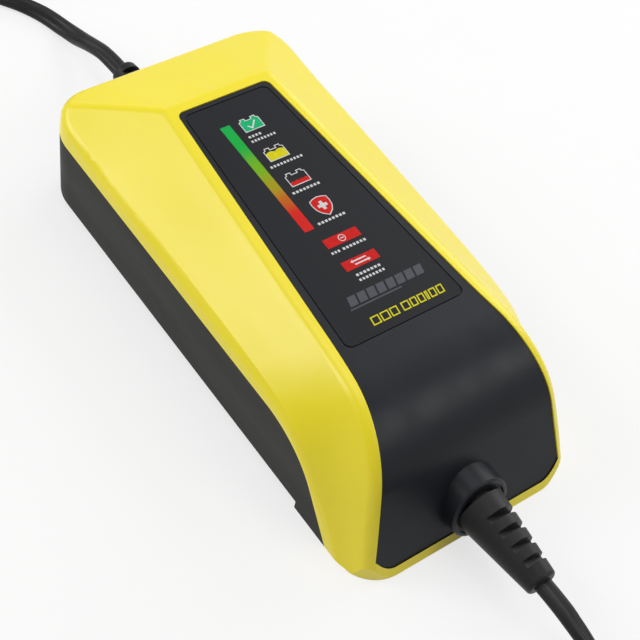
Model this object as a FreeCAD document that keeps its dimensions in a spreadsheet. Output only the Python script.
import FreeCAD, Part
import functools
import math
import os

import Sketcher
from FreeCAD import Placement, Rotation, Vector

# Compact car battery charger, in millimetres.
# Origin: on the resting plane, under the middle of the case. +Z up, +Y towards the
# mains lead at the rear, -Y towards the nose with the output lead, +X to the right.

X_AXIS, Y_AXIS, Z_AXIS = Vector(1, 0, 0), Vector(0, 1, 0), Vector(0, 0, 1)
FAR = 60.0          # how far a cutting block reaches past the case
ROOF_TOP = 12.0     # how far the roof surfaces run on above the deck

doc = FreeCAD.newDocument("battery_charger")

# --------------------------------------------------------------------------- sizes
SIZES = {
    # case
    "case_length": 180.0, "case_width": 88.0, "deck_height": 50.0, "deck_fall": 1.0,
    "base_taper": 1.8, "front_corner": 13.5, "rear_corner": 15.0, "front_reach": 0.0,
    "parting_height": 29.5, "parting_bend": 30.0, "parting_lean": 55.0, "parting_foot": 18.5,
    "band_height": 6.4, "crease_lean": 51.0, "crease_drop": 41.0, "crease_blend": 12.0,
    "nose_radius": 32.0, "nose_lean": 23.5, "rear_run": 30.0, "crease_round": 4.0,
    "shell_wall": 2.2, "fit_gap": 0.15,
    # black centre piece and its label
    "centre_rear_half": 17.3, "centre_front_half": 24.7, "centre_rear_inset": 3.0,
    "flare_start": 60.0, "rim_width": 2.8, "ribbon_height": 1.8, "ribbon_side": 1.3,
    "centre_recess": 0.35, "centre_wall": 2.05, "flange_width": 4.0, "flange_depth": 1.6,
    "label_thick": 0.4, "label_margin": 1.6, "label_front": 49.5, "label_corner": 2.5,
    "label_groove": 0.35, "window_radius": 1.5,
    # lower case
    "foot_lift": 3.3, "base_floor": 2.4, "lip_height": 2.6, "lip_wall": 1.2, "seal_width": 1.0,
    "seal_depth": 1.0, "front_foot": 34.0, "post_radius": 4.2, "post_side": 9.4,
    "post_rear": 14.0, "post_front": 33.0, "post_meet": 17.0, "screw_radius": 1.6,
    "screw_head": 3.3, "screw_head_high": 2.2, "screw_long": 20.0, "well_radius": 3.7,
    "well_depth": 5.4, "foot_radius": 6.0, "foot_peg": 2.0,
    # boss and strain reliefs
    "boss_height": 12.8, "boss_radius": 10.6, "boss_reach": 0.5, "boss_lean": 14.0,
    "collar_radius": 9.1, "collar_depth": 4.0, "boot_start": 8.3, "boot_end": 5.0,
    "boot_length": 29.5, "boot_slots": 4.0, "slot_pitch": 5.35, "slot_width": 2.3,
    "slot_first": 6.0, "slot_turn": 28.0, "slot_bite": 0.42, "neck_radius": 4.6,
    "neck_flange": 6.4, "flange_thick": 2.0, "rear_height": 14.0, "rear_boss": 9.0,
    "rear_collar": 7.2, "rear_boot_start": 6.2, "rear_boot_end": 4.4, "rear_boot_length": 17.0,
    # main board and what stands on it
    "board_width": 58.0, "board_thick": 1.6, "board_gap": 4.4, "board_front": 22.0,
    "board_rear": 12.0, "standoff_radius": 3.0, "board_screw": 1.25, "board_screw_head": 2.6,
    "core_long": 33.0, "core_wide": 28.0, "core_high": 25.0, "core_leg": 6.0,
    "winding_high": 13.0, "filter_radius": 10.0, "filter_thick": 9.0, "big_can_radius": 8.0,
    "big_can_high": 26.0, "can_radius": 5.0, "can_high": 18.0, "sink_long": 64.0,
    "sink_high": 20.0, "sink_wall": 2.4, "fin_count": 8.0, "fin_reach": 7.0, "fin_thick": 1.2,
    "chip_long": 10.0, "chip_wide": 7.0, "chip_high": 2.2, "fuse_radius": 2.6, "fuse_long": 20.0,
    "terminal_long": 16.0, "terminal_wide": 9.0, "terminal_high": 10.0,
    # display board under the centre piece
    "display_width": 24.0, "display_long": 74.0, "display_thick": 1.2, "display_drop": 5.0,
    "led_side": 2.4, "led_high": 1.4, "peg_radius": 2.2,
    # leads, coils and plug
    "lead_round": 5.0, "leg_round": 3.4, "wire_round": 2.0, "coil_outer": 45.0, "coil_inner": 26.5,
    "coil_high": 13.0, "coil_edge": 2.5, "plug_long": 32.0, "plug_wide": 24.0, "plug_high": 16.0,
    "relief_long": 18.0, "blade_long": 16.0, "blade_wide": 6.3, "blade_thick": 1.5,
    "blade_pitch": 12.7, "splitter_long": 22.0, "splitter_wide": 9.0, "splitter_high": 8.0,
    # battery clamps
    "clamp_jaw": 40.0, "clamp_handle": 44.0, "clamp_thick": 13.0, "clamp_spread": 21.5,
    "clamp_belly": 11.0, "clamp_grip": 4.0, "ear_radius": 5.6, "ear_thick": 1.5,
    "ear_gap": 0.15, "pin_radius": 1.9, "pin_play": 0.05, "pin_head": 3.0,
    "pin_head_high": 0.65, "slide_gap": 0.3, "spring_wire": 0.8, "spring_radius": 3.6,
    "jaw_gap": 0.4, "clamp_apart": 22.5,
}

sheet = doc.addObject("Spreadsheet::Sheet", "Sizes")
for row, (alias, value) in enumerate(SIZES.items(), start=1):
    sheet.set("A%d" % row, alias)
    sheet.set("B%d" % row, "%g" % value)
    sheet.setAlias("B%d" % row, alias)
doc.recompute()


class Size:
    """A number that remembers the spreadsheet expression it comes from."""

    def __init__(self, text, number):
        self.text, self.number = text, float(number)

    def _join(self, other, sign, number, swap=False):
        other_text = other.text if isinstance(other, Size) else "%.9g" % other
        pair = (other_text, self.text) if swap else (self.text, other_text)
        return Size("(%s %s %s)" % (pair[0], sign, pair[1]), number)

    def __add__(self, other):
        return self._join(other, "+", self.number + float(other))

    def __radd__(self, other):
        return self._join(other, "+", float(other) + self.number, swap=True)

    def __sub__(self, other):
        return self._join(other, "-", self.number - float(other))

    def __rsub__(self, other):
        return self._join(other, "-", float(other) - self.number, swap=True)

    def __mul__(self, other):
        return self._join(other, "*", self.number * float(other))

    def __rmul__(self, other):
        return self._join(other, "*", float(other) * self.number, swap=True)

    def __truediv__(self, other):
        return self._join(other, "/", self.number / float(other))

    def __neg__(self):
        return Size("(0 - %s)" % self.text, -self.number)

    def __float__(self):
        return self.number


class Sheet:
    """The driving sizes by name: S.case_length is the cell's expression and number."""

    def __getattr__(self, name):
        return Size("Sizes.%s" % name, sheet.get(name))


S = Sheet()
NODES = []


def number(value):
    return float(value)


def bind(item, prop, value):
    """Tie one property to its expression, or set it where the value is a plain number."""
    if isinstance(value, Size):
        item.setExpression(prop, value.text)
    else:
        item.setExpression(prop, "%.9g" % value)


def place(item, x=0.0, y=0.0, z=0.0, rotation=None):
    item.Placement = Placement(Vector(number(x), number(y), number(z)), rotation or Rotation())
    for axis, value in (("x", x), ("y", y), ("z", z)):
        bind(item, "Placement.Base.%s" % axis, value)


def keep(item, label):
    """Register a finished sub-part; its label names its file."""
    item.Label = label
    NODES.append(item)
    return item


def feature(label, shape):
    """A sub-part whose shape is worked out in code from the sheet."""
    item = doc.addObject("Part::Feature", label)
    item.Shape = shape
    item.Placement = Placement()
    return keep(item, label)


# ------------------------------------------------------------------ drawing helpers
def cylinder(radius, start, axis, length):
    return Part.makeCylinder(number(radius), number(length), start, axis)


def block(low, high):
    size = high - low
    return Part.makeBox(size.x, size.y, size.z, low)


def rounded_wire(points, radii, closed=True):
    """Straight runs through the points, with a tangent arc where a radius is given."""
    count = len(points)
    starts, ends, edges = {}, {}, []
    for index, (corner, radius) in enumerate(zip(points, radii)):
        inner = closed or 0 < index < count - 1
        starts[index] = ends[index] = corner
        if not inner or radius <= 0:
            continue
        back = (points[index - 1] - corner).normalize()
        ahead = (points[(index + 1) % count] - corner).normalize()
        half = back.getAngle(ahead) / 2
        reach = radius / math.tan(half)
        bisector = (back + ahead).normalize()
        middle = corner + bisector * (radius / math.sin(half) - radius)
        starts[index], ends[index] = corner + back * reach, corner + ahead * reach
        edges.append((index, Part.Arc(starts[index], middle, ends[index]).toShape()))
    arcs = dict(edges)
    chain = []
    for index in range(count):
        if index in arcs:
            chain.append(arcs[index])
        if index < count - 1 or closed:
            following = (index + 1) % count
            if starts[following].distanceToPoint(ends[index]) > 1e-6:
                chain.append(Part.LineSegment(ends[index], starts[following]).toShape())
    return Part.Wire(chain)


def slab(wire, direction):
    return Part.Face(wire).extrude(direction)


def softer_of(first, second, blend):
    """The lower of two heights, with the corner between them eased over the blend."""
    return (first + second - math.sqrt((first - second) ** 2 + blend ** 2)) / 2


# ------------------------------------------------------------------ shape of the case
LENGTH, WIDTH = number(S.case_length), number(S.case_width)
FRONT, REAR = -LENGTH / 2, LENGTH / 2
DECK = number(S.deck_height)
PARTING = number(S.parting_height)
CREASE = PARTING + number(S.band_height)
FALL = math.tan(math.radians(number(S.deck_fall)))
NOSE = math.tan(math.radians(number(S.nose_lean)))
DECK_REAR = REAR - number(S.rear_run)
WALL = number(S.shell_wall)
GAP = number(S.fit_gap)


def meet(line_a, line_b):
    """Where two lines of a side view cross; a line is a point and a direction."""
    (ay, az, ady, adz), (by, bz, bdy, bdz) = line_a, line_b
    along = ((by - ay) * bdz - (bz - az) * bdy) / (ady * bdz - adz * bdy)
    return ay + ady * along, az + adz * along


def side_lines(inset):
    """Nose, deck and rear slope in side view, each moved inwards by the inset."""
    nose_long = math.hypot(NOSE, 1)
    nose = (FRONT + inset * nose_long, 0.0, NOSE, 1.0)
    deck_long = math.hypot(1, FALL)
    deck = (DECK_REAR, DECK - inset * deck_long, 1.0, FALL)
    rise, run = DECK - CREASE, number(S.rear_run)
    rear = (REAR, CREASE - inset * math.hypot(rise, run) / run, -run, rise)
    return nose, deck, rear


def deck_height_at(y):
    """Height of the deck and nose at a place along the case."""
    nose, deck, _ = side_lines(0.0)
    corner_y, corner_z = meet(nose, deck)
    radius = number(S.nose_radius)
    half_turn = (math.pi / 2 - math.atan(NOSE) - math.atan(FALL)) / 2
    reach = radius * math.tan(half_turn)
    arc_rear = corner_y + reach * math.cos(math.atan(FALL))
    arc_front = corner_y - reach * math.sin(math.atan(NOSE))
    if y >= arc_rear:
        return DECK + (y - DECK_REAR) * FALL
    if y <= arc_front:
        return (y - FRONT) / NOSE
    centre_y = arc_rear + radius * math.sin(math.atan(FALL))
    centre_z = DECK + (arc_rear - DECK_REAR) * FALL - radius * math.cos(math.atan(FALL))
    return centre_z + math.sqrt(radius ** 2 - (y - centre_y) ** 2)


def half_width_at(z):
    """Half width of the side walls, which draw in towards the base."""
    return WIDTH / 2 - number(S.base_taper) * max(0.0, 1 - z / PARTING)


def centre_half_at(y):
    """Half width of the black centre piece, which flares out down the nose."""
    rear_y = DECK_REAR - number(S.centre_rear_inset)
    flare_y = FRONT + number(S.flare_start)
    spread = (number(S.centre_front_half) - number(S.centre_rear_half)) / (rear_y - flare_y)
    straight = number(S.centre_rear_half) + (rear_y - y) * spread
    past = max(0.0, flare_y - y) / number(S.flare_start)
    widest = half_width_at(0) - number(S.ribbon_side) - 2.9
    return straight + (widest - number(S.centre_front_half) - spread * number(S.flare_start)) * past ** 2.6


def crease_height_at(y):
    """Height of the crease between the side band and the sloping facet."""
    slope = math.tan(math.radians(number(S.crease_lean)))
    return softer_of(CREASE, CREASE + slope * (y - FRONT - number(S.crease_drop)), number(S.crease_blend))


@functools.lru_cache(maxsize=None)
def plan_prism(inset):
    """The case's outline seen from above, drawn in towards the base."""
    top = DECK + ROOF_TOP + 4

    def outline(z, draw):
        half = WIDTH / 2 - draw - inset
        front, rear = FRONT - number(S.front_reach) + inset, REAR - draw - inset
        corners = [Vector(-half, front, z), Vector(half, front, z), Vector(half, rear, z),
                   Vector(-half, rear, z)]
        front_round = max(1.0, number(S.front_corner) - inset)
        rear_round = max(1.0, number(S.rear_corner) - inset)
        return rounded_wire(corners, [front_round, front_round, rear_round, rear_round])

    rings = [outline(0.0, number(S.base_taper)), outline(PARTING, 0.0), outline(top, 0.0)]
    return Part.makeLoft(rings, True, True)


def side_prism(inset):
    """Nose, deck and rear slope run across the whole width."""
    nose, deck, rear = side_lines(inset)
    low = -ROOF_TOP
    past = REAR + ROOF_TOP
    rear_z = rear[1] + (past - rear[0]) * rear[3] / rear[2]
    points = [(nose[0] + low * NOSE, low), meet(nose, deck), meet(deck, rear), (past, rear_z), (past, low)]
    corners = [Vector(-WIDTH, y, z) for y, z in points]
    return slab(rounded_wire(corners, [0, number(S.nose_radius) - inset, 0, 0, 0]), Vector(2 * WIDTH, 0, 0))


def roof_loft(inset):
    """The two long sloping facets, from the crease of the side band to the deck's rim."""
    low, high = -8.0, DECK + ROOF_TOP / 2
    sections = []
    steps = [1.06, 0.72, 0.4, 0.1, -0.12, -0.3, -0.46, -0.58, -0.68, -0.77, -0.86, -0.95, -1.05]
    for share in steps:
        y = share * LENGTH / 2
        crease = crease_height_at(y)
        wall = half_width_at(crease)
        rim = min(centre_half_at(max(y, FRONT)) + number(S.rim_width), wall - 1.0)
        rise = deck_height_at(max(y, FRONT - 3)) - crease
        lean = (wall - rim) / rise
        shift = inset * math.hypot(1, lean)
        half_low = wall + (crease - low) * lean - shift
        half_high = wall + (crease - high) * lean - shift
        corners = [(-half_low, low), (half_low, low), (half_high, high), (-half_high, high)]
        points = [Vector(x, y, z) for x, z in corners]
        sections.append(Part.makePolygon(points + points[:1]))
    return Part.makeLoft(sections, True, False)


@functools.lru_cache(maxsize=None)
def envelope(inset):
    """The closed outer form of the case, moved inwards by the inset."""
    return plan_prism(inset).common(side_prism(inset)).common(roof_loft(inset))


def soften(shape, radius):
    """Round the creases of the upper case, leaving out any that will not take it."""
    chosen = []
    for edge in shape.Edges:
        box = edge.BoundBox
        if box.ZMin < CREASE - 34 or box.ZMin < 1.0 or edge.Length < 4.0:
            continue
        chosen.append(edge)
    return shape.makeFillet(radius, chosen)


def below_parting(raise_by):
    """Everything under the joint between the two halves of the case."""
    lean = math.tan(math.radians(number(S.parting_lean)))
    foot_y = FRONT + number(S.parting_foot)
    top = PARTING + raise_by
    foot = (foot_y - raise_by / math.sin(math.radians(number(S.parting_lean))), 0.0, 1.0, lean)
    low_y = foot[0] - FAR / lean
    bend = meet(foot, (0.0, top, 1.0, 0.0))
    past = REAR + FAR
    points = [(low_y, -FAR), bend, (past, top), (past, -FAR)]
    corners = [Vector(-WIDTH, y, z) for y, z in points]
    radius = max(number(S.parting_bend) - raise_by, 2.0)
    return slab(rounded_wire(corners, [0, radius, 0, 0]), Vector(2 * WIDTH, 0, 0))


def centre_prism(grow, floor):
    """The centre piece's outline from above, grown or shrunk, standing on a floor height."""
    rear_y = DECK_REAR - number(S.centre_rear_inset) + grow
    flare_y = FRONT + number(S.flare_start)
    stations = [flare_y, FRONT + 36, FRONT + 21, FRONT + 11, FRONT + 3, FRONT - 4]
    right = [Vector(centre_half_at(y) + grow, y, floor) for y in stations]
    left = [Vector(-point.x, point.y, floor) for point in reversed(right)]
    curve_right, curve_left = Part.BSplineCurve(), Part.BSplineCurve()
    curve_right.interpolate(right)
    curve_left.interpolate(left)
    half = centre_half_at(rear_y) + grow
    rear_left, rear_right = Vector(-half, rear_y, floor), Vector(half, rear_y, floor)
    radius = max(2.6 + grow, 0.6)
    rear = rounded_wire([left[-1], rear_left, rear_right, right[0]], [0, radius, radius, 0], closed=False)
    edges = [curve_right.toShape(), Part.LineSegment(right[-1], left[0]).toShape(), curve_left.toShape()]
    outline = Part.Wire(Part.__sortEdges__(edges + rear.Edges))
    prism = slab(outline, Vector(0, 0, DECK + FAR - floor))
    return prism.common(plan_prism(number(S.ribbon_side) - grow))


# ------------------------------------------------------------ boss and strain reliefs
BOSS_Z = number(S.boss_height)
BOSS_LEAN = math.tan(math.radians(number(S.boss_lean)))
BOSS_FACE = FRONT + number(S.boss_reach)
REACH = -(BOSS_FACE - number(S.boss_radius) * BOSS_LEAN)   # front end of the boss from the origin


def leaning_front(y, height, deep):
    """A block in front of the leaning plane that trims the boss and the collar."""
    top, low = height + FAR, height - FAR
    points = [Vector(-FAR, y + (z - height) * BOSS_LEAN, z) for z in (low, top)]
    points += [Vector(-FAR, points[1].y - deep, top), Vector(-FAR, points[0].y - deep, low)]
    return slab(Part.makePolygon(points + points[:1]), Vector(2 * FAR, 0, 0))


def along_y(radius, y_from, y_to, z):
    return cylinder(radius, Vector(0, y_from, z), Y_AXIS, y_to - y_from)


def strain_relief(start, end, long, collar, neck, flange, plate, seat, sign, height, slots):
    """A tapered rubber boot with cross slots, its collar, its neck and its inner flange.

    seat is the y of the collar's floor; the boot runs from the collar in direction sign.
    """
    def span(radius, a, b):
        low, high = min(a, b), max(a, b)
        return along_y(radius, low, high, height)

    outer = seat + sign * (number(S.collar_depth) - 0.6)
    tip = outer + sign * long
    body = Part.makeCone(start, end, long, Vector(0, outer, height), Vector(0, sign, 0))
    tip_edges = [e for e in body.Edges if abs(e.BoundBox.YMin - tip) < 1e-3
                 and abs(e.BoundBox.YMax - tip) < 1e-3]
    body = body.makeFillet(1.2, tip_edges)
    width, pitch = number(S.slot_width), number(S.slot_pitch)
    for index in range(int(slots)):
        first = outer + sign * (number(S.slot_first) + pitch * index)
        radius = start + (end - start) * abs(first - outer) / long
        low = min(first, first + sign * width)
        cutter = Part.makeBox(2 * start + 4, width, start + 2,
                              Vector(-start - 2, low, number(S.slot_bite) * radius))
        cutter.rotate(Vector(0, 0, 0), Y_AXIS, number(S.slot_turn))
        cutter.translate(Vector(0, 0, height))
        body = body.cut(cutter)
    ring = span(collar, seat, outer)
    if sign < 0:
        ring = span(collar, seat, outer - 6).cut(leaning_front(BOSS_FACE + 0.6, BOSS_Z, 40))
        body = body.fuse(span(0.74 * start, seat, outer - 1.0))
    back = seat - sign * plate
    stem = span(neck, seat, back)
    lock = span(flange, back, back - sign * number(S.flange_thick))
    boot = body.fuse([ring, stem, lock])
    return boot.removeSplitter(), tip


# --------------------------------------------------------------------- case pieces
OUTER = envelope(0.0)
INNER = envelope(WALL)
UNDER = below_parting(0.0)
OUTER_SOFT = soften(OUTER, number(S.crease_round))

floor_top = number(S.foot_lift) + number(S.base_floor)
boss_bottom_cut = along_y(number(S.boss_radius) + GAP, FRONT - 20, FRONT + 16, BOSS_Z)

BOSS_BACK = FRONT + 13.0
REAR_BACK = REAR - 5.0
post_x = WIDTH / 2 - number(S.post_side)
post_places = [(side * post_x, y) for y in (REAR - number(S.post_rear), FRONT + number(S.post_front))
               for side in (-1, 1)]
meet_z = number(S.post_meet)


def standing(radius, x, y, low, high):
    return cylinder(radius, Vector(x, y, low), Z_AXIS, high - low)


def make_top_shell():
    opening = centre_prism(0.0, number(S.ribbon_height))
    skin = OUTER_SOFT.cut(INNER).cut(UNDER).cut(opening).cut(boss_bottom_cut)
    posts = []
    flange_room = centre_prism(number(S.flange_width) + 0.3, 0.0)
    for x, y in post_places:
        post = standing(S.post_radius, x, y, meet_z, DECK).common(envelope(WALL - 0.4)).cut(flange_room)
        hole = standing(number(S.screw_radius), x, y, meet_z - 1, meet_z + number(S.screw_long) - 6.0)
        posts.append(post.cut(hole))
    return skin.fuse(posts).removeSplitter()


def make_centre_fascia():
    recess = number(S.centre_recess)
    face = envelope(recess).common(centre_prism(-GAP, number(S.ribbon_height) + GAP))
    flange = INNER.common(centre_prism(number(S.flange_width), 4.0))
    deep = WALL + number(S.flange_depth)
    plate = face.fuse(flange).cut(envelope(deep))
    hollow = envelope(recess + number(S.centre_wall)).common(centre_prism(-number(S.flange_width), 6.0))
    plate = plate.cut(hollow)
    boss = along_y(S.boss_radius, FRONT - 20, BOSS_BACK, BOSS_Z)
    boss = boss.cut(leaning_front(BOSS_FACE, BOSS_Z, 40))
    edge = [e for e in boss.Edges if e.BoundBox.YMax < BOSS_BACK - 1 and e.Length > 30]
    boss = boss.makeFillet(0.8, edge)
    plate = plate.fuse(boss)
    plate = plate.cut(along_y(S.collar_radius, FRONT - 20, collar_seat, BOSS_Z))
    plate = plate.cut(along_y(S.neck_radius, FRONT - 20, FRONT + 30, BOSS_Z))
    plate = plate.cut(label_sheet(0.0))
    pegs = []
    for x, y in display_pegs:
        peg = standing(S.peg_radius, x, y, display_top,
                       DECK).common(envelope(recess + number(S.centre_wall) - 0.3))
        pegs.append(peg.cut(standing(0.9, x, y, display_top - 1, display_top + 3.0)))
    plate = plate.fuse(pegs)
    for x, y in window_places:
        plate = plate.cut(standing(number(S.window_radius), x, y, display_top, DECK + 5))
    return plate.removeSplitter()


def label_sheet(shrink):
    """The label: a thin trapezoid let into the deck of the centre piece."""
    recess, thick = number(S.centre_recess), number(S.label_thick)
    margin = number(S.label_margin)
    rear_y = DECK_REAR - number(S.centre_rear_inset) - margin - shrink
    front_y = FRONT + number(S.label_front) + shrink
    rear_half = centre_half_at(rear_y) - margin - shrink
    front_half = centre_half_at(front_y) - 2 * margin - shrink
    corners = [Vector(-front_half, front_y, 0), Vector(front_half, front_y, 0)]
    corners += [Vector(rear_half, rear_y, 0), Vector(-rear_half, rear_y, 0)]
    outline = rounded_wire(corners, [number(S.label_corner)] * 4)
    prism = slab(outline, Vector(0, 0, DECK + FAR))
    outside = envelope(recess) if shrink > 0 else envelope(-1.0)
    return outside.common(prism).cut(envelope(recess + thick))


collar_seat = BOSS_FACE + number(S.collar_depth)
display_top = deck_height_at(FRONT + 50) - number(S.display_drop)
display_mid = DECK_REAR - number(S.centre_rear_inset) - 8 - number(S.display_long) / 2
display_pegs = [(side * (number(S.display_width) / 2 - 3),
                 display_mid + end * (number(S.display_long) / 2 - 4))
                for end in (1, -1) for side in (-1, 1)]
icon_pitch = 12.0
window_places = [(1.0, display_mid + icon_pitch * (2.5 - index)) for index in range(6)]


def make_bottom_case():
    lift = number(S.foot_lift)
    walls = plan_prism(0.0).common(UNDER)
    foot_y = FRONT + number(S.front_foot)
    walls = walls.cut(block(Vector(-FAR, foot_y, -1), Vector(FAR, REAR + FAR, lift)))
    cavity = plan_prism(WALL + 0.2).cut(block(Vector(-FAR, FRONT - FAR, -1),
                                              Vector(FAR, REAR + FAR, floor_top)))
    tray = walls.cut(cavity)
    fence = plan_prism(WALL + GAP).cut(plan_prism(WALL + GAP + number(S.lip_wall)))
    fence = fence.common(below_parting(number(S.lip_height))).common(envelope(WALL + GAP))
    fence = fence.cut(block(Vector(-FAR, FRONT - FAR, -1), Vector(FAR, REAR + FAR, floor_top - 0.2)))
    fence = fence.cut(block(Vector(-FAR, FRONT - FAR, -1),
                            Vector(FAR, FRONT + number(S.parting_foot) + 6, DECK)))
    front = block(Vector(-FAR, FRONT - 5, 0), Vector(FAR, foot_y, floor_top))
    step_high = number(S.ribbon_height) - 0.2
    nose_plate = envelope(WALL + 2 * GAP).common(front)
    nose_plate = nose_plate.cut(block(Vector(-FAR, FRONT - 5, step_high), Vector(FAR, foot_y, DECK)))
    inner_plate = envelope(WALL + number(S.flange_depth) + 2 * GAP).common(front)
    tray = tray.fuse([fence, nose_plate, inner_plate])
    tray = tray.cut(seal_ring())
    tray = tray.cut(along_y(number(S.boss_radius) + 0.3, FRONT - 20, BOSS_BACK + 1, BOSS_Z))
    for x, y in post_places:
        tray = tray.fuse(standing(S.post_radius, x, y, floor_top - 0.5, meet_z))
    for x, y in standoffs:
        tray = tray.fuse(standing(S.standoff_radius, x, y, floor_top - 0.5, board_low))
    rear_face = REACH
    height = number(S.rear_height)
    tray = tray.fuse(along_y(S.rear_boss, REAR_BACK, rear_face, height))
    tray = tray.cut(along_y(S.rear_collar, rear_seat, rear_face + 5, height))
    tray = tray.cut(along_y(S.neck_radius, REAR - 20, rear_face + 5, height))
    for x, y in post_places:
        tray = tray.cut(standing(S.well_radius, x, y, -1, lift + number(S.well_depth)))
        tray = tray.cut(standing(number(S.screw_radius) + GAP, x, y, 0, meet_z + 1))
    for x, y in standoffs:
        tray = tray.cut(standing(S.board_screw, x, y, board_low - 3.4, board_low + 1))
    for x, y in foot_places:
        tray = tray.cut(standing(S.foot_peg, x, y, lift - 1, lift + 2.0))
    plate_low = block(Vector(-24, -22, lift - 1), Vector(24, 34, lift + 0.5))
    return tray.cut(plate_low).removeSplitter()


def seal_ring():
    """The soft seal that lies in a groove along the top of the lower walls."""
    start = 0.6
    width = number(S.seal_width)
    ring = plan_prism(start).cut(plan_prism(start + width))
    ring = ring.common(UNDER).cut(below_parting(-number(S.seal_depth)))
    return ring.cut(block(Vector(-FAR, FRONT - FAR, -FAR),
                          Vector(FAR, REAR + FAR, number(S.foot_lift) + 3.0)))


board_low = floor_top + number(S.board_gap)
board_top = board_low + number(S.board_thick)
board_y0 = FRONT + number(S.board_front)
board_y1 = REAR - number(S.board_rear)
board_mid = (board_y0 + board_y1) / 2
standoff_x = number(S.board_width) / 2 - 4.0
standoffs = [(side * standoff_x, y) for y in (board_y0 + 6, board_y1 - 5) for side in (-1, 1)]
foot_places = [(side * (WIDTH / 2 - 16), REAR - 34) for side in (-1, 1)]
rear_seat = REACH - number(S.collar_depth)

feature("top_shell", make_top_shell())
feature("centre_fascia", make_centre_fascia())
feature("label_membrane", label_sheet(number(S.label_groove)))
feature("bottom_case", make_bottom_case())
feature("case_seal", seal_ring())


# ------------------------------------------------------- pieces drawn from primitives
def prim_box(name, long, wide, high, x, y, z):
    """A box centred on x and y, standing on z."""
    item = doc.addObject("Part::Box", name)
    for prop, value in (("Length", long), ("Width", wide), ("Height", high)):
        bind(item, prop, value)
    place(item, x - long / 2, y - wide / 2, z)
    return item


def prim_rod(name, radius, high, x, y, z, rotation=None):
    item = doc.addObject("Part::Cylinder", name)
    bind(item, "Radius", radius)
    bind(item, "Height", high)
    place(item, x, y, z, rotation)
    return item


def group(label, pieces):
    """Several separate solids kept as one sub-part."""
    item = doc.addObject("Part::Compound", label)
    item.Links = pieces
    return keep(item, label)


def joined(label, pieces):
    item = doc.addObject("Part::MultiFuse", label)
    item.Shapes = pieces
    return keep(item, label)


def cut_out(label, base, tool):
    item = doc.addObject("Part::Cut", label)
    item.Base, item.Tool = base, tool
    return item


# ------------------------------------------------------------- PartDesign sub-parts
def new_body(label):
    return keep(doc.addObject("PartDesign::Body", label), label)


def origin_plane(body, role):
    return next(item for item in body.Origin.OriginFeatures if item.Role == role)


def new_sketch(body, name, role="XY_Plane"):
    sketch = body.newObject("Sketcher::SketchObject", name)
    sketch.AttachmentSupport = [(origin_plane(body, role), "")]
    sketch.MapMode = "FlatFace"
    return sketch


def fix(sketch, kind, *where):
    """One driving constraint: the last argument is its value, tied to the sheet."""
    value = where[-1]
    index = sketch.addConstraint(Sketcher.Constraint(kind, *where[:-1], number(value)))
    sketch.setExpression("Constraints[%d]" % index, value.text if isinstance(value, Size)
                         else "%.9g" % value)


def draw_outline(sketch, points):
    """A closed outline of straight lines whose corners are tied to the sheet."""
    first = sketch.GeometryCount
    count = len(points)
    spots = [Vector(number(a), number(b), 0) for a, b in points]
    for index in range(count):
        sketch.addGeometry(Part.LineSegment(spots[index], spots[(index + 1) % count]))
    for index in range(count):
        sketch.addConstraint(Sketcher.Constraint("Coincident", first + index, 2,
                                                 first + (index + 1) % count, 1))
    for index, (across, up) in enumerate(points):
        for kind, value, axis in (("DistanceX", across, -2), ("DistanceY", up, -1)):
            if abs(number(value)) < 1e-9:
                sketch.addConstraint(Sketcher.Constraint("PointOnObject", first + index, 1, axis))
            else:
                fix(sketch, kind, -1, 1, first + index, 1, value)


def draw_circle(sketch, radius, across, up):
    index = sketch.addGeometry(Part.Circle(Vector(number(across), number(up), 0), Z_AXIS, number(radius)))
    fix(sketch, "Radius", index, radius)
    for kind, value, axis in (("DistanceX", across, -2), ("DistanceY", up, -1)):
        if abs(number(value)) < 1e-9:
            sketch.addConstraint(Sketcher.Constraint("PointOnObject", index, 3, axis))
        else:
            fix(sketch, kind, -1, 1, index, 3, value)


def pad(body, sketch, name, long):
    item = body.newObject("PartDesign::Pad", name)
    item.Profile = sketch
    bind(item, "Length", long)
    doc.recompute()
    return item


def pocket(body, sketch, name, deep, reverse=False):
    before = body.Tip.Shape.Volume
    item = body.newObject("PartDesign::Pocket", name)
    item.Profile = sketch
    item.Reversed = reverse
    bind(item, "Length", deep)
    doc.recompute()
    if item.Shape.Volume >= before - 1e-6:
        raise RuntimeError("%s cuts nothing" % name)
    return item


def revolve(body, sketch, name):
    item = body.newObject("PartDesign::Revolution", name)
    item.Profile = sketch
    item.ReferenceAxis = (sketch, ["V_Axis"])
    item.Angle = 360
    doc.recompute()
    return item


def make_board(label, width, long, thick, corner_holes, hole, x, y, z):
    body = new_body(label)
    outline = new_sketch(body, label + "_outline")
    draw_outline(outline, [(-width / 2, -long / 2), (width / 2, -long / 2), (width / 2, long / 2),
                           (-width / 2, long / 2)])
    pad(body, outline, label + "_sheet", thick)
    holes = new_sketch(body, label + "_holes")
    for across, up in corner_holes:
        draw_circle(holes, hole, across, up)
    pocket(body, holes, label + "_drilling", thick, reverse=True)
    place(body, x, y, z)
    return body


def copies(label, source, places):
    """The same turned piece at several places, as one group of separate solids."""
    pieces = []
    for index, (x, y, z) in enumerate(places):
        link = doc.addObject("Part::Feature", "%s_%d" % (label, index + 1))
        link.Shape = source.Shape
        place(link, x, y, z)
        pieces.append(link)
    return group(label, pieces)


def turned(label, outline):
    """A piece turned about its own upright axis, kept as a master for its copies."""
    body = doc.addObject("PartDesign::Body", label + "_master")
    sketch = new_sketch(body, label + "_half", "XZ_Plane")
    draw_outline(sketch, outline)
    revolve(body, sketch, label + "_turned")
    return body


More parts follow.
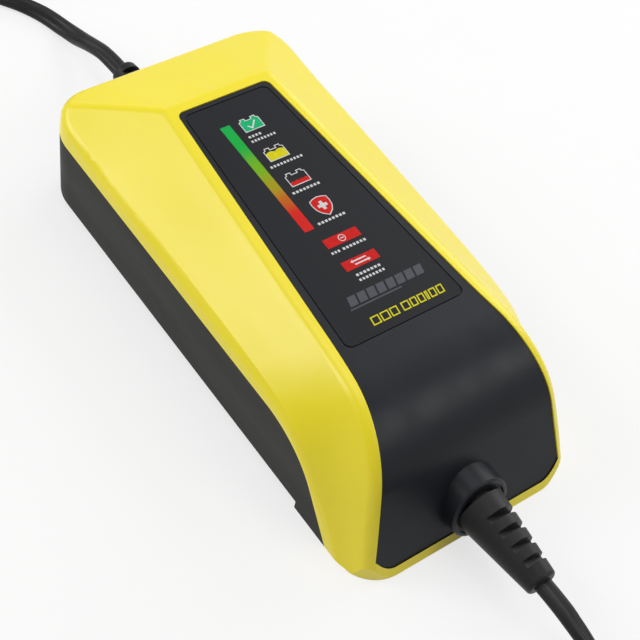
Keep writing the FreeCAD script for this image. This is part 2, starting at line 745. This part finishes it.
# ------------------------------------------------------------------ boards and screws
board_long = S.case_length - S.board_front - S.board_rear
board_centre = (S.board_front - S.board_rear) / 2
main_low = S.foot_lift + S.base_floor + S.board_gap
main_top = main_low + S.board_thick
hole_x = S.board_width / 2 - 4.0
main_holes = [(side * hole_x, end) for end in (6.0 - board_long / 2, board_long / 2 - 5.0)
              for side in (-1, 1)]
make_board("main_board", S.board_width, board_long, S.board_thick, main_holes, S.board_screw + 0.15,
           0.0, board_centre, main_low)
board_screw = turned("board_screw", [
    (0.0, -3.0 - S.board_thick), (S.board_screw, -3.0 - S.board_thick), (S.board_screw, 0.0),
    (S.board_screw_head, 0.0), (S.board_screw_head, 1.2), (1.2, 1.9), (1.0, 1.0), (0.0, 1.0)])
copies("board_screws", board_screw, [(x, y + board_centre, main_top) for x, y in main_holes])

screw_top = S.foot_lift + S.well_depth
case_screw = turned("case_screw", [
    (0.0, S.screw_long - S.screw_head_high), (0.0, 1.0 - S.screw_head_high), (1.4, 1.0 - S.screw_head_high),
    (1.6, 0.0 - S.screw_head_high), (S.screw_head, 0.0 - S.screw_head_high), (S.screw_head, 0.0),
    (S.screw_radius, 0.0), (S.screw_radius, S.screw_long - S.screw_head_high - 1.5)])
copies("case_screws", case_screw, [(x, y, screw_top) for x, y in post_places])

rubber_foot = turned("rubber_foot", [
    (0.0, 0.0), (S.foot_radius - 0.8, 0.0), (S.foot_radius, 0.8), (S.foot_radius, S.foot_lift),
    (S.foot_peg, S.foot_lift), (S.foot_peg, S.foot_lift + 1.8), (0.0, S.foot_lift + 1.8)])
copies("rubber_feet", rubber_foot, [(x, y, 0.0) for x, y in foot_places])

display_low = display_top - number(S.display_thick)
display_holes = [(side * (S.display_width / 2 - 3), end * (S.display_long / 2 - 4)) for end in (1, -1)
                 for side in (-1, 1)]
make_board("display_board", S.display_width, S.display_long, S.display_thick, display_holes, 1.05,
           0.0, display_mid, display_low)
display_screw = turned("display_screw", [
    (0.0, -1.4), (1.9, -1.4), (1.9, 0.0), (0.9, 0.0), (0.9, S.display_thick + 2.6),
    (0.0, S.display_thick + 2.6)])
copies("display_board_screws", display_screw, [(x, y, display_low) for x, y in display_pegs])

leds = [prim_box("led_%d" % (index + 1), S.led_side, S.led_side, S.led_high, x, y, display_top)
        for index, (x, y) in enumerate(window_places)]
group("indicator_leds", leds)


def window_rods():
    """Clear rods that carry the light of each lamp up to the underside of the label."""
    rods = []
    ceiling = envelope(number(S.centre_recess) + number(S.label_thick))
    for x, y in window_places:
        low = display_top + number(S.led_high) + 0.2
        rods.append(standing(number(S.window_radius), x, y, low, DECK + 5).common(ceiling))
    return Part.makeCompound([solid for rod in rods for solid in rod.Solids])


feature("light_windows", window_rods())

# --------------------------------------------------------- electronics on the board
core_y = 4.0
core = joined("transformer_core", [
    prim_box("core_left", S.core_leg, S.core_wide, S.core_high, S.core_leg / 2 - S.core_long / 2, core_y,
             main_top + 1.0),
    prim_box("core_right", S.core_leg, S.core_wide, S.core_high, S.core_long / 2 - S.core_leg / 2, core_y,
             main_top + 1.0),
    prim_box("core_foot", S.core_long, S.core_wide, S.core_leg, 0.0, core_y, main_top + 1.0),
    prim_box("core_roof", S.core_long, S.core_wide, S.core_leg, 0.0, core_y,
             main_top + 1.0 + S.core_high - S.core_leg),
])
winding_span = S.core_high - 2 * S.core_leg
prim = prim_box("winding_block", S.core_long - 2 * S.core_leg - 1.0, S.core_wide + 8.0, winding_span - 1.0,
                0.0, core_y, main_top + 1.5 + S.core_leg)
pins = [prim_box("winding_foot_%d" % index, S.core_long - 2 * S.core_leg - 4.0, 1.6, S.core_leg + 2.0,
                 0.0, core_y + side * (S.core_wide / 2 + 2.6), main_top)
        for index, side in enumerate((-1, 1))]
joined("transformer_winding", [prim] + pins)

choke_y = 34.0
lying = Rotation(X_AXIS, 90)
choke_ring = prim_rod("choke_ring", S.filter_radius, S.filter_thick, -14.0, choke_y + S.filter_thick / 2,
                      main_top + S.filter_radius, lying)
choke_hole = prim_rod("choke_hole", S.filter_radius * 0.45, S.filter_thick + 2.0, -14.0,
                      choke_y + S.filter_thick / 2 + 1.0, main_top + S.filter_radius, lying)
keep(cut_out("filter_choke", choke_ring, choke_hole), "filter_choke")
cans = [prim_rod("can_%d" % index, radius, high, x, y, main_top)
             for index, (radius, high, x, y) in enumerate((
                 (S.big_can_radius, S.big_can_high, 12.0, 38.0), (S.can_radius, S.can_high, -18.0, -34.0),
                 (S.can_radius, S.can_high, -6.0, -34.0), (S.can_radius, S.can_high, -18.0, -47.0)))]
group("capacitors", cans)

sink = new_body("heat_sink")
sink_sketch = new_sketch(sink, "sink_section")
draw_outline(sink_sketch, [(0.0, -S.sink_long / 2), (S.sink_wall, -S.sink_long / 2),
                           (S.sink_wall, S.sink_long / 2),
                           (0.0, S.sink_long / 2)])
pad(sink, sink_sketch, "sink_plate", S.sink_high)
fin_sketch = new_sketch(sink, "fin_section")
fin_y = -S.sink_long / 2
draw_outline(fin_sketch, [(-S.fin_reach, fin_y), (0.5, fin_y), (0.5, fin_y + S.fin_thick),
                          (-S.fin_reach, fin_y + S.fin_thick)])
fin_pad = pad(sink, fin_sketch, "first_fin", S.sink_high)
row = sink.newObject("PartDesign::LinearPattern", "fin_row")
row.Originals = [fin_pad]
row.Direction = (origin_plane(sink, "Y_Axis"), [""])
row.Occurrences = int(number(S.fin_count))
bind(row, "Length", S.sink_long - S.fin_thick)
sink.Tip = row
doc.recompute()
sink_x = S.board_width / 2 - 5.4
sink_y = -6.0
place(sink, sink_x, sink_y, main_top)

fets = []
for index in range(3):
    fet_y = sink_y + (index - 1) * 20.0
    body_box = prim_box("fet_%d" % (index + 1), 3.0, 10.0, 15.0, sink_x + S.sink_wall + 1.5, fet_y,
                        main_top + 4.0)
    legs = prim_box("fet_legs_%d" % (index + 1), 0.8, 6.0, 4.5, sink_x + S.sink_wall + 1.5, fet_y, main_top)
    both = doc.addObject("Part::Fuse", "fet_whole_%d" % (index + 1))
    both.Base, both.Tool = body_box, legs
    fets.append(both)
group("power_transistors", fets)
group("control_chips", [prim_box("chip_%d" % index, S.chip_long, S.chip_wide, S.chip_high, x, y, main_top)
                        for index, (x, y) in enumerate(((-20.0, -18.0), (-4.0, -50.0), (-22.0, 24.0),
                                                        (10.0, -50.0)))])
fuse_z = main_top + 1.2 + S.fuse_radius
joined("board_fuse", [
    prim_rod("fuse_tube", S.fuse_radius - 0.3, S.fuse_long, -22.0, 62.0, fuse_z, lying),
    prim_rod("fuse_cap_rear", S.fuse_radius, 5.0, -22.0, 62.0, fuse_z, lying),
    prim_rod("fuse_cap_front", S.fuse_radius, 5.0, -22.0, 67.0 - S.fuse_long, fuse_z, lying)])
group("fuse_clips", [prim_box("clip_%d" % index, 7.0, 3.0, 1.2, -22.0, y, main_top)
                     for index, y in enumerate((59.5, 64.5 - S.fuse_long))])
terminal_rows = (board_centre + board_long / 2 - 9.0, board_centre - board_long / 2 + 9.0)
terminals = [prim_box("terminal_%d" % index, S.terminal_long, S.terminal_wide, S.terminal_high, 0.0, y,
                      main_top)
             for index, y in enumerate(terminal_rows)]
group("wire_terminals", terminals)

# ---------------------------------------------------------------- strain reliefs
front_boot, front_tip = strain_relief(
    number(S.boot_start), number(S.boot_end), number(S.boot_length), number(S.collar_radius),
    number(S.neck_radius),
    number(S.neck_flange), BOSS_BACK - collar_seat, collar_seat, -1, BOSS_Z, number(S.boot_slots))
feature("output_strain_relief", front_boot)
rear_boot, rear_tip = strain_relief(
    number(S.rear_boot_start), number(S.rear_boot_end), number(S.rear_boot_length), number(S.rear_collar),
    number(S.neck_radius), number(S.neck_flange), rear_seat - REAR_BACK, rear_seat, 1,
    number(S.rear_height), 2)
feature("mains_strain_relief", rear_boot)


def inner_wires(label, y_from, z_from, terminal_y, apart):
    """Two short wires from the inner end of a strain relief to its screw terminals."""
    sign = 1 if terminal_y > y_from else -1
    entry = terminal_y - sign * number(S.terminal_wide) / 2
    z_to = number(main_top) + number(S.terminal_high) / 2
    radius = number(S.wire_round) / 2
    third = (entry - y_from) / 3
    wires = []
    for side in (-1, 1):
        points = [Vector(side * 1.5, y_from, z_from), Vector(side * 1.5, y_from + third, z_from),
                  Vector(side * apart / 2, entry - third, z_to), Vector(side * apart / 2, entry, z_to)]
        path = rounded_wire(points, [0, 2.6, 2.6, 0], closed=False)
        ring = Part.Wire(Part.Circle(points[0], Y_AXIS, radius).toShape())
        wires.append(path.makePipeShell([ring], True, False, 2))
    feature(label, Part.makeCompound(wires))


rear_terminal_y, front_terminal_y = [number(y) for y in terminal_rows]
inner_wires("mains_inner_wires", REAR_BACK - number(S.flange_thick), number(S.rear_height),
            rear_terminal_y, 7.0)
inner_wires("output_inner_wires", BOSS_BACK + number(S.flange_thick), BOSS_Z, front_terminal_y, 7.0)


# ------------------------------------------------------------------ leads and coils
def lead_tube(label, points, radius, least):
    """A free lead as straight runs joined by tangent arcs, each as large as its runs allow."""
    spots = [Vector(*point) for point in points]
    radii = [0.0]
    for before, here, after in zip(spots, spots[1:], spots[2:]):
        turn = (here - before).getAngle(after - here)
        shorter = min(before.distanceToPoint(here), here.distanceToPoint(after))
        radii.append(0.45 * shorter / math.tan(turn / 2))
    path = rounded_wire(spots, radii + [0.0], closed=False)
    length = path.Length
    first = (spots[1] - spots[0]).normalize()
    ring = Part.Wire(Part.Circle(spots[0], first, radius).toShape())
    tube = path.makePipeShell([ring], True, False, 2)
    print("%s radii %s, length %.0f, volume ratio %.4f" % (
        label, [round(value) for value in radii[1:]], length,
        tube.Volume / (math.pi * radius ** 2 * length)))
    if min(radii[1:]) < least:
        print("  %s bends tighter than %.0f" % (label, least))
    feature(label, tube)


def coil_ring(label, x, y):
    """The outer form of a lead wound flat on the bench."""
    outer, inner, high = S.coil_outer, S.coil_inner, S.coil_high
    body = new_body(label)
    sketch = new_sketch(body, label + "_section", "XZ_Plane")
    edge = S.coil_edge
    draw_outline(sketch, [(inner, edge), (inner + edge, 0.0), (outer - edge, 0.0), (outer, edge),
                          (outer, high - edge), (outer - edge, high), (inner + edge, high),
                          (inner, high - edge)])
    revolve(body, sketch, label + "_turned")
    place(body, x, y, 0.0)


OUTPUT_COIL = (-5.0, -204.0)
MAINS_COIL = (0.0, 214.0)
lead_radius, leg_radius = number(S.lead_round) / 2, number(S.leg_round) / 2

mains_route = [(0.0, rear_tip, number(S.rear_height)), (-0.3, 117.5, 13.2), (-0.5, 126.4, 10.0),
               (-0.1, 135.0, 5.4),
               (-0.8, 144.0, 2.8), (-3.6, 153.3, 2.6), (-8.8, 161.8, 2.6), (-15.0, 169.0, 2.6),
               (-19.6, 173.4, 2.6)]
output_route = [(0.0, front_tip, BOSS_Z), (0.3, -126.2, 12.6), (1.3, -134.9, 9.4), (3.4, -142.6, 4.9),
                (7.2, -150.6, 2.8), (12.6, -158.2, 2.6), (18.4, -165.2, 2.6)]
lead_tube("mains_lead", mains_route, lead_radius, 5 * number(S.lead_round))
lead_tube("output_lead", output_route, lead_radius, 5 * number(S.lead_round))
coil_ring("mains_lead_coil", *MAINS_COIL)
coil_ring("output_lead_coil", *OUTPUT_COIL)

mains_tail = [(-42.2, 219.0, 2.6), (-43.2, 233.4, 2.6), (-41.7, 247.7, 2.8), (-39.4, 254.8, 3.2),
              (-35.4, 261.2, 4.0), (-30.0, 266.4, 5.0), (-23.6, 270.2, 6.4),
              (-16.5, 272.2, number(S.plug_high) / 2)]
lead_tube("mains_lead_tail", mains_tail, lead_radius, 5 * number(S.lead_round))
output_tail = [(37.2, -207.0, 2.6), (38.8, -216.4, 3.2), (40.0, -226.0, 4.0)]
lead_tube("output_lead_tail", output_tail, lead_radius, 5 * number(S.lead_round))


# ------------------------------------------------------------------------ mains plug
def make_plug():
    x0, y0, _ = mains_tail[-1]
    half_high = number(S.plug_high) / 2
    relief = Part.makeCone(4.2, 6.4, number(S.relief_long) + 1, Vector(x0, y0, half_high), X_AXIS)
    body_x = x0 + number(S.relief_long)
    half_wide = number(S.plug_wide) / 2
    shoulder = body_x + number(S.plug_long) * 0.35
    face = body_x + number(S.plug_long)
    points = [(body_x, -6.5), (shoulder, -half_wide), (face, -half_wide), (face, half_wide),
              (shoulder, half_wide), (body_x, 6.5)]
    corners = [Vector(x, y0 + y, 0) for x, y in points]
    shell = slab(rounded_wire(corners, [1, 6, 3, 3, 6, 1]), Vector(0, 0, number(S.plug_high)))
    shell = shell.makeFillet(1.6, [e for e in shell.Edges if abs(e.BoundBox.ZMax - e.BoundBox.ZMin) < 1e-6])
    return relief.fuse(shell).removeSplitter(), face


plug_shape, plug_face = make_plug()
blade_y = mains_tail[-1][1]


blade_end = plug_face + number(S.blade_long)


def blade_box(side):
    half = number(S.blade_thick) / 2
    y = blade_y + side * number(S.blade_pitch) / 2
    middle = number(S.plug_high) / 2
    reach = number(S.blade_wide) / 2
    return block(Vector(plug_face - 8, y - half, middle - reach),
                 Vector(blade_end, y + half, middle + reach))


for side in (-1, 1):
    plug_shape = plug_shape.cut(blade_box(side))
feature("mains_plug", plug_shape)
blades = []
for side in (-1, 1):
    blade = blade_box(side)
    hole = cylinder(1.5, Vector(plug_face + 11.5, blade_y - FAR, number(S.plug_high) / 2), Y_AXIS, 2 * FAR)
    tip = [e for e in blade.Edges if abs(e.BoundBox.XMin - blade_end) < 1e-6 and e.BoundBox.YLength > 1]
    blades.append(blade.makeFillet(1.8, tip).cut(hole))
feature("plug_blades", Part.makeCompound(blades))

# -------------------------------------------------------------- splitter and two legs
split_x, split_y, _ = output_tail[-1]
split_low = split_y - number(S.splitter_long)
splitter = doc.addObject("Part::Box", "splitter_block")
bind(splitter, "Length", S.splitter_wide)
bind(splitter, "Width", S.splitter_long)
bind(splitter, "Height", S.splitter_high)
place(splitter, split_x - S.splitter_wide / 2, split_y - S.splitter_long, 0.0)
doc.recompute()
rounded = doc.addObject("Part::Fillet", "lead_splitter")
rounded.Base = splitter
rounded.Edges = [(index, 1.6, 1.6) for index in range(1, 13)]
keep(rounded, "lead_splitter")

clamp_mid = S.coil_high + S.clamp_thick / 2
CLAMP_Z = number(clamp_mid)
clamp_rear = OUTPUT_COIL[1] - number(S.clamp_handle)
tail_x = number(S.clamp_apart) - number(S.clamp_spread) + number(S.clamp_grip) / 2
red_route = [(split_x + 2.2, split_low, 4.0), (42.8, -257.2, 3.0), (40.6, -266.6, 2.0), (34.6, -274.6, 1.9),
             (25.6, -279.6, 2.2), (15.2, -281.0, 4.4), (5.4, -278.6, 8.4), (-2.4, -272.2, 12.8),
             (-7.0, -263.6, 16.6),
             (OUTPUT_COIL[0] - tail_x - 0.1, -255.0, 19.2), (OUTPUT_COIL[0] - tail_x, clamp_rear, CLAMP_Z)]
black_route = [(split_x - 2.2, split_low, 4.0), (38.0, -256.0, 2.8), (36.0, -263.8, 1.9),
               (30.6, -270.0, 1.9),
               (23.0, -273.6, 2.4), (14.6, -273.8, 4.6), (6.8, -270.6, 8.6), (1.2, -265.0, 12.8),
               (-1.8, -258.8, 16.6),
               (OUTPUT_COIL[0] + tail_x + 0.1, -253.2, 19.0),
               (OUTPUT_COIL[0] + tail_x, clamp_rear, CLAMP_Z)]
lead_tube("red_leg", red_route, leg_radius, 3 * number(S.leg_round))
lead_tube("black_leg", black_route, leg_radius, 3 * number(S.leg_round))


# -------------------------------------------------------------------- battery clamps
def clamp_half(moving):
    """One insulated half, jaws towards +Y, on the +X side of its pivot at the origin."""
    jaw, handle = number(S.clamp_jaw), number(S.clamp_handle)
    spread, belly, grip = number(S.clamp_spread), number(S.clamp_belly), number(S.clamp_grip)
    outline = [((1.4, jaw), 0), ((4.2, jaw), 2), ((belly - 2, 0.78 * jaw), 6), ((belly, 0.45 * jaw), 10),
               ((9.0, 0.08 * jaw), 12), ((11.0, -8.0), 12), ((spread - 1.0, -0.74 * handle), 12),
               ((spread, -handle), 1.5),
               ((spread - grip, -handle), 1.2), ((spread - grip - 1.6, -0.74 * handle), 12),
               ((7.6, -8.0), 6),
               ((3.4, 7.0), 2), ((6.4, 0.5 * jaw), 0), ((5.5, 0.7 * jaw), 0), ((1.4, 0.9 * jaw), 0)]
    wire = rounded_wire([Vector(x, y, 0) for (x, y), _ in outline], [radius for _, radius in outline])
    middle = number(S.clamp_thick) / 2
    half_thick = middle - (number(S.slide_gap) if moving else 0.0)
    half = slab(wire, Vector(0, 0, 2 * half_thick))
    half.translate(Vector(0, 0, -half_thick))
    rims = [e for e in half.Edges if e.BoundBox.ZLength < 1e-6 and e.BoundBox.YMax < -7.0]
    half = half.makeFillet(1.2, [e for e in rims if e.BoundBox.XMin > 9.5])
    half = half.cut(standing(number(S.ear_radius) + 0.6, 0, 0, -FAR, FAR))
    thick = number(S.ear_thick)
    outer_high = middle - number(S.pin_head_high) - (thick + number(S.ear_gap) if moving else 0.0)
    for low in (outer_high - thick, -outer_high):
        ear = standing(S.ear_radius, 0, 0, low, low + thick)
        bridge = block(Vector(0, -4.0, low), Vector(8.0, 4.0, low + thick))
        half = half.fuse(ear.fuse(bridge))
    hole = number(S.pin_radius) + (number(S.pin_play) if moving else 0.0)
    return half.cut(standing(hole, 0, 0, -FAR, FAR)).removeSplitter()


def clamp_contact():
    """The toothed copper strip that lines one jaw."""
    jaw, near = number(S.clamp_jaw), number(S.jaw_gap) / 2
    root = 0.36 * jaw
    root_x = 3.4 + 3.0 * (root - 7.0) / (0.5 * jaw - 7.0)
    edge = [(1.4, jaw), (1.4, 0.9 * jaw), (5.5, 0.7 * jaw), (6.4, 0.5 * jaw), (root_x, root)]
    back = [(root_x - 1.0, root), (5.35, 0.5 * jaw), (4.6, 0.685 * jaw), (near, 0.88 * jaw)]
    pitch = 0.03 * jaw
    teeth = [(near + (0.7 if index % 2 else 0.0), 0.88 * jaw + pitch * (index + 1))
             for index in range(1, 4)]
    points = [Vector(x, y, -4.5) for x, y in edge + back + teeth[:-1]] + [Vector(near, jaw, -4.5)]
    return slab(Part.makePolygon(points + points[:1]), Vector(0, 0, 9.0))


def clamp_spring():
    """Three coils round the pin with one straight leg against each handle."""
    wire, radius = number(S.spring_wire), number(S.spring_radius)
    coils = [Part.makeTorus(radius, wire, Vector(0, 0, level)) for level in (-1.5, 0.0, 1.5)]
    legs = []
    for side, level in ((1, 1.5), (-1, -1.5)):
        start = Vector(side * radius, 0.5, level)
        end = Vector(side * 11.4, -22.0, level)
        legs.append(cylinder(wire, start, end - start, start.distanceToPoint(end)))
    spring = coils[0].fuse(coils[1:] + legs)
    return spring.removeSplitter()


def clamp_pin():
    half = number(S.clamp_thick) / 2
    head = number(S.pin_head_high) - 0.05
    pin = standing(S.pin_radius, 0, 0, -half + 0.05, half - 0.05)
    heads = [standing(S.pin_head, 0, 0, half - 0.05 - head, half - 0.05),
             standing(S.pin_head, 0, 0, -half + 0.05, -half + 0.05 + head)]
    return pin.fuse(heads).removeSplitter()


def clamp_piece(label, shape, x, mirrored):
    """One clamp piece on its side of the pair, laid on the coil."""
    item = feature(label, shape.mirror(Vector(0, 0, 0), X_AXIS) if mirrored else shape)
    place(item, x, OUTPUT_COIL[1], clamp_mid)


for colour, side in (("red", -1), ("black", 1)):
    x = OUTPUT_COIL[0] + side * S.clamp_apart
    clamp_piece(colour + "_clamp_fixed_half", clamp_half(False), x, side > 0)
    clamp_piece(colour + "_clamp_moving_half", clamp_half(True), x, side < 0)
    clamp_piece(colour + "_clamp_fixed_contact", clamp_contact(), x, side > 0)
    clamp_piece(colour + "_clamp_moving_contact", clamp_contact(), x, side < 0)
    clamp_piece(colour + "_clamp_spring", clamp_spring(), x, side < 0)
    clamp_piece(colour + "_clamp_pin", clamp_pin(), x, False)


# ------------------------------------------------------------------------- writing
def write_parts():
    doc.recompute()
    for item in doc.Objects:
        broken = [state for state in item.State if state in ("Invalid", "Error")]
        if broken:
            raise RuntimeError("%s is %s" % (item.Label, broken))
    os.makedirs("parts", exist_ok=True)
    for item in NODES:
        shape = item.Shape
        if shape.isNull() or not shape.isValid():
            raise RuntimeError("%s has no valid shape" % item.Label)
        shape.exportStep(os.path.join("parts", item.Label + ".step"))
        print("%-28s %2d solid(s) %10.1f mm3" % (item.Label, len(shape.Solids), shape.Volume))


write_parts()
